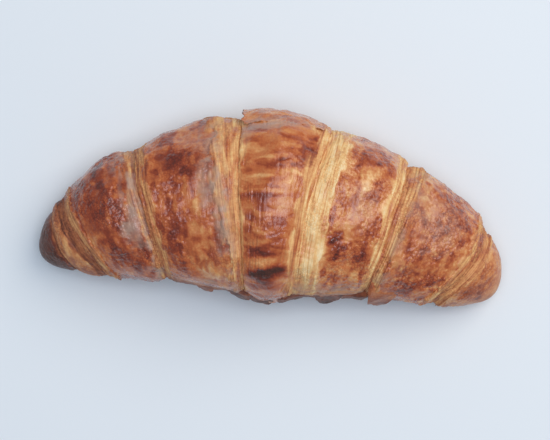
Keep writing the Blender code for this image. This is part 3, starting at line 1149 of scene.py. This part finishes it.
@dataclass
class Flap:
    """A torn flap of crust that stands off the roll at its free edge.

    Attributes:
        name: The piece's name.
        start: Arc length at its left end.
        end: Arc length at its right end.
        root: Angle where it grows out of the crust, in degrees from +Y over the top.
        free: Angle of its free edge.
        lift: How far the free edge stands off.
        bake: How brown it is.
        corner: How much further its left end stands off than its right.
        scalloped: How round its free edge is: 0 straight, 1 a lobe.
        rolled: 0 where the free edge stands off, 1 where it rolls back down to the crust.
        merged: How much its ends sink into the crust.
        turn: The number of the turn that it tears from.
        steam_and_sheen_cover: How much pale skin from the steam it has, partly a painted sheen.
        washed: How much of the egg wash it got.
        root_bake: How brown it is where it grows out of the crust.
    """

    name: str
    start: float
    end: float
    root: float
    free: float
    lift: float
    bake: float = 0.6
    corner: float = 0.0
    scalloped: float = 0.0
    rolled: float = 0.0
    merged: float = 0.0
    turn: float = 0.0
    steam_and_sheen_cover: float = 0.0
    washed: float = 1.0
    root_bake: float = 0.58
    swell: float = 0.9 * MM  # of the crust that it tears from
    thick: float = 0.4 * MM
    buried: float = 1.6 * MM  # depth of its root and ends in the crust
    spacing: float = 0.2 * MM  # of the mesh
    ragged: float = 1.1 * MM  # how far its edges are torn

    RIM = 0.45 * MM  # width of the paler free edge
    SIDE = 2 * MM  # over which its ends come out of the crust
    FLOOR = 0.4 * MM  # how near the table it may come

    def build(self, material: bpy.types.Material) -> bpy.types.Object:
        """Makes the flap and dresses it.

        Args:
            material: The crust's material.

        Returns:
            The finished object, at the origin.
        """
        length = self.end - self.start
        width = float(FORM.width_at(np.array((self.start + self.end) / 2)))
        root, free = math.radians(self.root), math.radians(self.free)
        depth = abs(root - free) * width
        seed = self.start / MM + self.free
        u = np.linspace(0, 1, int(length / self.spacing / COARSE) + 3)[:, None]
        columns = int(depth / self.spacing / COARSE) + 3
        # Columns run over the flap to its free edge, back under it, and close at the root
        over = np.concatenate([np.linspace(0, 1, columns), np.linspace(1, 0, columns)[1:], [0]])[None, :]
        under = np.concatenate([np.zeros(columns), np.ones(columns - 1), [0]])[None, :]
        run = stack(u * length, 0 * u, 0 * u)
        notch = self.ragged * (grain(run, 3.5 * MM, seed) + 0.6 * grain(run, 1.1 * MM, seed))
        lobe = 1 - self.scalloped * np.abs(2 * u - 1) ** 2.2
        angle = root + (free - root) * over * lobe * (1 + notch / depth)
        fray = self.ragged * grain(stack(over * depth, u * length, 0 * u), 2.5 * MM, seed + 3)
        s = self.start + length * u + fray * (2 * u - 1) ** 2
        base = FORM.point(s, angle, np.zeros_like(s))
        rough = grain(base, 3 * MM, seed + 5)
        fine = grain(base, 1.2 * MM, seed + 7)
        rise = self.rolled * np.sin(math.pi * over) + (1 - self.rolled) * over**1.5 * lobe
        stand = self.lift * (1 + self.corner * (1 - 2 * u)) * rise
        sides = smooth(np.minimum(u, 1 - u) * length / self.SIDE)
        emerged = smooth(over * 3) * (1 - self.merged * (1 - sides))
        top = self.swell - self.buried * (1 - emerged) + stand
        top = top + 0.5 * MM * rough * over + 0.12 * MM * fine
        top += Turn.lump_height * grain(base, Turn.lump_size, 0.0)
        top += Turn.crinkle_height * grain(base, Turn.crinkle_size, self.turn)
        closed = np.sqrt(np.maximum(1 - (2 * u - 1) ** 10, 0))
        thick = self.thick * closed * (1 + 2 * (1 - over)) * np.minimum(1, (1 - over) * 10 + 0.3)
        height = top - thick * under
        along = grain(base, (6 * MM, 2 * MM, 3 * MM), seed + 11)
        rim = fade_out((1 - over) * depth, self.RIM)
        bake = self.root_bake + (self.bake - self.root_bake) * smooth(1.7 * over)
        # Browner underneath: a painted shade under the flap
        bake = bake + 0.16 * along + 0.08 * fine + 0.08 * rough + 0.1 * under - 0.08 * rim
        blank = np.zeros_like(bake)
        glaze = blank + self.washed * (1 - 0.8 * under) * (1 - 0.5 * rim)
        # Pale skin from the steam underneath and in streaks, partly a painted sheen
        steam_and_sheen = self.steam_and_sheen_cover * (0.5 * under + window(along, 0.1, 0.4))
        crust = Crust(height, bake, glaze, blank + 0.5 * rim, steam_and_sheen, blank + 0.4)
        flow = stack(s, angle * width, 0 * s)
        points = FORM.point(s, angle, height)
        points[..., 2] = np.maximum(points[..., 2], self.FLOOR)
        return dress(make_skin(self.name, points, crust, flow), material)


@dataclass
class Table:
    """A plain pale table top under the croissant."""

    reach: float = 3.0
    color: str = "#e4eaed"
    roughness: float = 0.75
    ior: float = 1.3

    def build(self) -> bpy.types.Object:
        """Makes the table top at z = 0.

        Returns:
            The table top, which belongs to the stage.
        """
        bpy.ops.object.select_all(action="DESELECT")
        bpy.ops.mesh.primitive_plane_add(size=self.reach)
        top = bpy.context.object
        top.name = "table_top"
        # Matt emulsion paint: pale and even, with barely a sheen; its IOR and roughness are typical
        paint = bpy.data.materials.new("pale_matt_paint")
        paint.use_nodes = True
        shader = paint.node_tree.nodes["Principled BSDF"]
        shader.inputs["Base Color"].default_value = linear(self.color)
        shader.inputs["Roughness"].default_value = self.roughness
        shader.inputs["IOR"].default_value = self.ior
        top.data.materials.append(paint)
        return top


@dataclass(frozen=True)
class Lamp:
    """A square area light that shines at the middle of the croissant."""

    name: str
    place: tuple[float, float, float]
    size: float
    power: float
    color: str

    def hang(self) -> None:
        """Adds the light."""
        bpy.ops.object.light_add(type="AREA", location=self.place)
        lamp = bpy.context.object
        lamp.name = self.name
        lamp.data.shape = "SQUARE"
        lamp.data.size = self.size
        lamp.data.energy = self.power
        lamp.data.color = linear(self.color)[:3]
        x, y, z = self.place
        lamp.rotation_euler = (0.0, math.atan2(math.hypot(x, y), z), math.atan2(y, x))


@dataclass
class Studio:
    """Soft daylight from the upper right and from overhead, and the camera straight above."""

    sky: str = "#dbeafc"
    sky_strength: float = 0.375
    lamps: tuple[Lamp, ...] = (
        Lamp("soft_window", (0.55, 0.42, 0.85), 0.8, 6.0, "#fff5ea"),
        Lamp("soft_overhead", (0.05, 0.0, 1.3), 0.75, 7.3, "#ecf2ff"),
    )
    aim: tuple[float, float] = (1.8 * MM, -4.5 * MM)
    level: float = 20 * MM  # height at which the frame's width is measured
    distance: float = 0.73  # of the camera above that level
    frame_width: float = 199.7 * MM
    sensor: float = 36.0
    near: float = 0.01

    def light(self) -> None:
        """Lights the scene."""
        world = bpy.data.worlds.new("daylight")
        world.use_nodes = True
        background = world.node_tree.nodes["Background"]
        background.inputs["Color"].default_value = linear(self.sky)
        background.inputs["Strength"].default_value = self.sky_strength
        bpy.context.scene.world = world
        for lamp in self.lamps:
            lamp.hang()

    def film(self) -> None:
        """Places the camera so that the croissant fills the frame as it does in the view from above."""
        bpy.ops.object.camera_add(location=(*self.aim, self.level + self.distance), rotation=(0, 0, 0))
        camera = bpy.context.object
        camera.data.sensor_width = self.sensor
        camera.data.lens = self.sensor * self.distance / self.frame_width
        camera.data.clip_start = self.near
        bpy.context.scene.camera = camera
        bpy.context.scene.view_settings.view_transform = "Standard"


def edges() -> dict[str, Edge]:
    """Places the edges of the turns, as the roll was cut.

    Returns:
        The edges, by turn and side.
    """
    return {
        "top_left": Edge(-11 * MM, -1.2 * MM, 1.6 * MM, 0.0),
        "top_right": Edge(13.6 * MM, 2.6 * MM, 1.2 * MM, 0.0),
        "second_left": Edge(-45 * MM, -1.6 * MM, 1.4 * MM, 1.0),
        "second_right": Edge(43.1 * MM, 0.0, -0.5 * MM, 1.0),
        "third_left": Edge(-73.2 * MM, -1.8 * MM, 3.0 * MM, 2.0),
        "third_right": Edge(76.5 * MM, 0.7 * MM, -3.2 * MM, 2.0),
        "fourth_left": Edge(-79.6 * MM, 1.0 * MM, 2.5 * MM, 3.0),
    }


# The layers beside the narrow, the middling and the wide bands
THIN = Leaves(1, 0.08 * MM, 0.2 * MM, shade=0.05, foot_shade=0.04, toast=0.04)
FINE = Leaves(2, 0.14 * MM, 0.4 * MM, 11 * MM, foot_shade=0.06, toast=0.08, fibre_run=7 * MM)
BROAD = Leaves(8, 0.14 * MM, 1.6 * MM, 24 * MM, shade=0.07, foot_shade=0.03, toast=0.08)
CUT, COVERED, TIP = Bound.CUT, Bound.COVERED, Bound.TIP


def turns() -> list[Turn]:
    """Describes the stretches of crust that show.

    Returns:
        The stretches, from left to right.
    """
    e = edges()
    # The pale patches of skin from the steam listed below are partly a painted sheen of reflected sky
    return [
        Turn(
            "core_cap",
            4.0,
            Rim(TIP),
            Rim(COVERED, e["fourth_left"], 0.6 * MM, 0.0, 0.55, 0.2 * MM, 0.0, FINE),
            swell=0.4 * MM,
            bake=0.98,
            darkest=1.02,
            washed=0.6,
            patchy=0.3,
            film=0.0,
            step_ramp=3 * MM,
            spacing=0.3 * MM,
        ),
        Turn(
            "fourth_turn_left",
            3.0,
            Rim(CUT, e["fourth_left"], 0.8 * MM, 0.0, 0.45, 0.3 * MM, 0.0, FINE),
            Rim(COVERED, e["third_left"], 1.5 * MM, 0.0, 0.55, 0.4 * MM, 0.0, FINE, 0.4 * MM),
            swell=0.5 * MM,
            bake=0.60,
            washed=0.3,
            streaky=0.1,
            patchy=0.7,
            wrinkled=0.2 * MM,
            film=0.0,
            step_ramp=3 * MM,
            cut_width=1.5 * MM,
            spacing=0.3 * MM,
            spots=(spot(-77, -12, 3, 14, 0.06),),
        ),
        Turn(
            "third_turn_left",
            2.0,
            Rim(CUT, e["third_left"], 4.6 * MM, -0.6 * MM, 0.42, fray=0.7 * MM),
            Rim(COVERED, e["second_left"], 2.8 * MM, 0.6 * MM, 0.38, steam_and_sheen=1.0),
            bake=0.72,
            streaky=0.3,
            grainy=1.3,
            film=0.35,
            spots=(
                spot(-61.7, 10, 3.5, 4.5, 0.12),
                spot(-52, -14, 5, 5, 0.06),
                spot(-55, -22, 6, 4, -0.06),
            ),
            steam_and_sheen_spots=(spot(-49, 5, 2.0, 8, 0.6), spot(-48, -7, 3.0, 9, 0.8), spot(-51.0, -8, 2.2, 3, 0.9)),
        ),
        Turn(
            "second_turn_left",
            1.0,
            Rim(CUT, e["second_left"], 3.6 * MM, 0.0, 0.38, fray=0.8 * MM),
            Rim(
                COVERED, e["top_left"], 6.6 * MM, 3.2 * MM, 0.32,
                fray=1.5 * MM, steam_and_sheen=0.8, leaves=BROAD, step=0.2 * MM, fade=3 * MM,
            ),
            bake=0.62,
            streaky=0.4,
            grainy=0.8,
            spots=(
                spot(-34.5, 14, 11, 5, 0.11, 0.3, 0.6),
                spot(-31, -7, 5, 8, 0.05),
                spot(-19, -19, 8, 5, -0.10),
                spot(-25, 2, 2, 5, -0.10),
            ),
            steam_and_sheen_spots=(spot(-23, 8, 3.2, 9, 0.75), spot(-17.5, 0, 2.5, 16, 0.6), spot(-21, 21, 6, 3, 0.35)),
        ),
        Turn(
            "top_turn",
            0.0,
            Rim(CUT, e["top_left"], 0.7 * MM, 0.3 * MM, 0.24, 0.5 * MM, 0.0, THIN, lip=0.2 * MM),
            Rim(CUT, e["top_right"], 3.4 * MM, 0.3 * MM, 0.28, fray=1.2 * MM, fade=3.5 * MM),
            swell=1.0 * MM,
            bake=0.58,
            streaky=0.9,
            wrinkled=0.2 * MM,
            patchy=0.75,
            grainy=0.5,
            film=0.45,
            spots=(
                spot(-4.6, -22.9, 4.2, 1.9, 0.42, 0.25, 0.75),
                spot(0.2, -22.2, 3.6, 1.7, 0.42, 0.25, 0.75),
                spot(3.4, -21.2, 3.2, 1.4, 0.30, 0.3, 0.75),
                spot(-1.0, -26.0, 4.5, 2.2, 0.20, 0.3, 0.7),
                spot(-1.6, -14.8, 5.0, 2.0, 0.30, 0.4, 0.6),
                spot(3.0, -28.6, 4, 2.4, 0.16, 0.4, 0.6),
                spot(13.0, 19.0, 3.0, 5.0, 0.20),
                spot(4.5, 14.6, 5.0, 1.8, 0.12),
                spot(-4.0, 1.0, 7.0, 8.0, 0.10),
                spot(7.3, 11.5, 3.6, 2.4, -0.2),
                spot(2.5, 17.5, 5.5, 0.9, -0.18),
                spot(-6.0, 21, 4, 1.5, -0.12, 0.9, 0.6),
                spot(-4, 11, 5, 0.9, -0.12),
                spot(-2.5, -18.3, 5, 1.4, -0.14),
            ),
            steam_and_sheen_spots=(spot(0, 28.7, 13, 1.3, 0.8), spot(-8.5, 26, 2.5, 4, 0.4)),
        ),
        Turn(
            "second_turn_right",
            1.0,
            Rim(
                COVERED, e["top_right"], 7.6 * MM, -1.4 * MM, 0.12,
                fray=0.9 * MM, leaves=BROAD, step=0.4 * MM, fade=2.2 * MM,
            ),
            Rim(CUT, e["second_right"], 2.8 * MM, 0.0, 0.20, fray=0.6 * MM),
            bake=0.50,
            streaky=0.35,
            grainy=1.1,
            film=0.72,
            spots=(
                spot(36.3, 17, 7, 4, 0.16),
                spot(34, 8.5, 2.6, 3.4, -0.2),
                spot(22.5, -14, 4, 5, 0.18),
                spot(33, -17, 3.5, 3.5, 0.12),
                spot(27, -4, 1.5, 9, -0.06),
            ),
            # This pale patch is a painted sheen of reflected sky
            steam_and_sheen_spots=(spot(33, 0, 5, 8, 0.3),),
        ),
        Turn(
            "third_turn_right",
            2.0,
            Rim(COVERED, e["second_right"], 5 * MM, 0.8 * MM, 0.32, steam_and_sheen=0.5, step=0.4 * MM, fade=2.5 * MM),
            Rim(CUT, e["third_right"], 4.6 * MM, 0.0, 0.32, fray=0.8 * MM),
            bake=0.56,
            streaky=0.4,
            grainy=1.5,
            patchy=1.0,
            film=0.33,
            spots=(
                spot(50, -28, 9, 4, 0.10),
                spot(52, -15, 4, 7, 0.06),
                spot(56, 7, 4, 4, -0.10),
                spot(66, 4, 4, 4, -0.08),
            ),
            # These pale patches are a painted sheen of reflected sky
            steam_and_sheen_spots=(spot(60, -8, 9, 10, 0.35), spot(55, 2, 4, 6, 0.25)),
        ),
        Turn(
            "right_tip",
            3.0,
            Rim(COVERED, e["third_right"], 2.6 * MM, 0.0, 0.36, step=0.25 * MM),
            Rim(TIP),
            swell=0.9 * MM,
            bake=0.53,
            washed=0.6,
            patchy=0.7,
            wrinkled=0.2 * MM,
            film=0.1,
            step_ramp=4 * MM,
            spots=(spot(74, -31, 6, 3, 0.12), spot(84, -20, 3, 8, -0.06)),
        ),
    ]


def lobe(name: str, start: float, end: float, lift: float, bake: float, turn: float) -> Flap:
    """Makes a dark flake of crust that stands out low on the front.

    Args:
        name: Which flake.
        start: Arc length at its left end, in millimetres.
        end: Arc length at its right end, in millimetres.
        lift: How far its free edge stands off, in millimetres.
        bake: How brown it is.
        turn: The number of the turn that it tears from.

    Returns:
        The flake.
    """
    look = {"scalloped": 0.7, "merged": 0.4, "washed": 0.3, "root_bake": 0.72}
    return Flap(f"front_flake_{name}", start * MM, end * MM, 166, 185, lift * MM, bake, turn=turn, **look)


def flaps() -> list[Flap]:
    """Describes the torn flaps.

    Returns:
        The one at the back, and those along the front.
    """
    return [
        Flap("back_flap", -10.4 * MM, 14.2 * MM, -20, 28, 0.7 * MM, 0.48, 1.6, rolled=1.0, steam_and_sheen_cover=0.5),
        Flap("front_corner", 43.8 * MM, 57 * MM, 140, 182, 3.2 * MM, 0.68, 0, 0.8, 0, 0.8, 2, washed=0.4),
        lobe("left", -30.5, -21, 1.3, 0.74, 1.0),
        lobe("left_end", -16.5, -5, 1.6, 0.86, 1.0),
        lobe("middle", -9, 5.5, 1.2, 0.90, 0.0),
        lobe("right", 5.0, 22, 1.1, 0.88, 1.0),
        lobe("right_low", 21.5, 34.5, 2.5, 0.89, 1.0),
        lobe("right_end", 33, 45.8, 1.5, 0.86, 1.0),
    ]


def main() -> None:
    """Builds the croissant, the table, the light and the camera."""
    logging.basicConfig(level=logging.INFO, format="%(name)s: %(message)s")
    Table().build()
    crust = CrustFinish().material()
    for part in (*turns(), *flaps()):
        part.build(crust)
    studio = Studio()
    studio.light()
    studio.film()


if __name__ == "__main__":
    main()
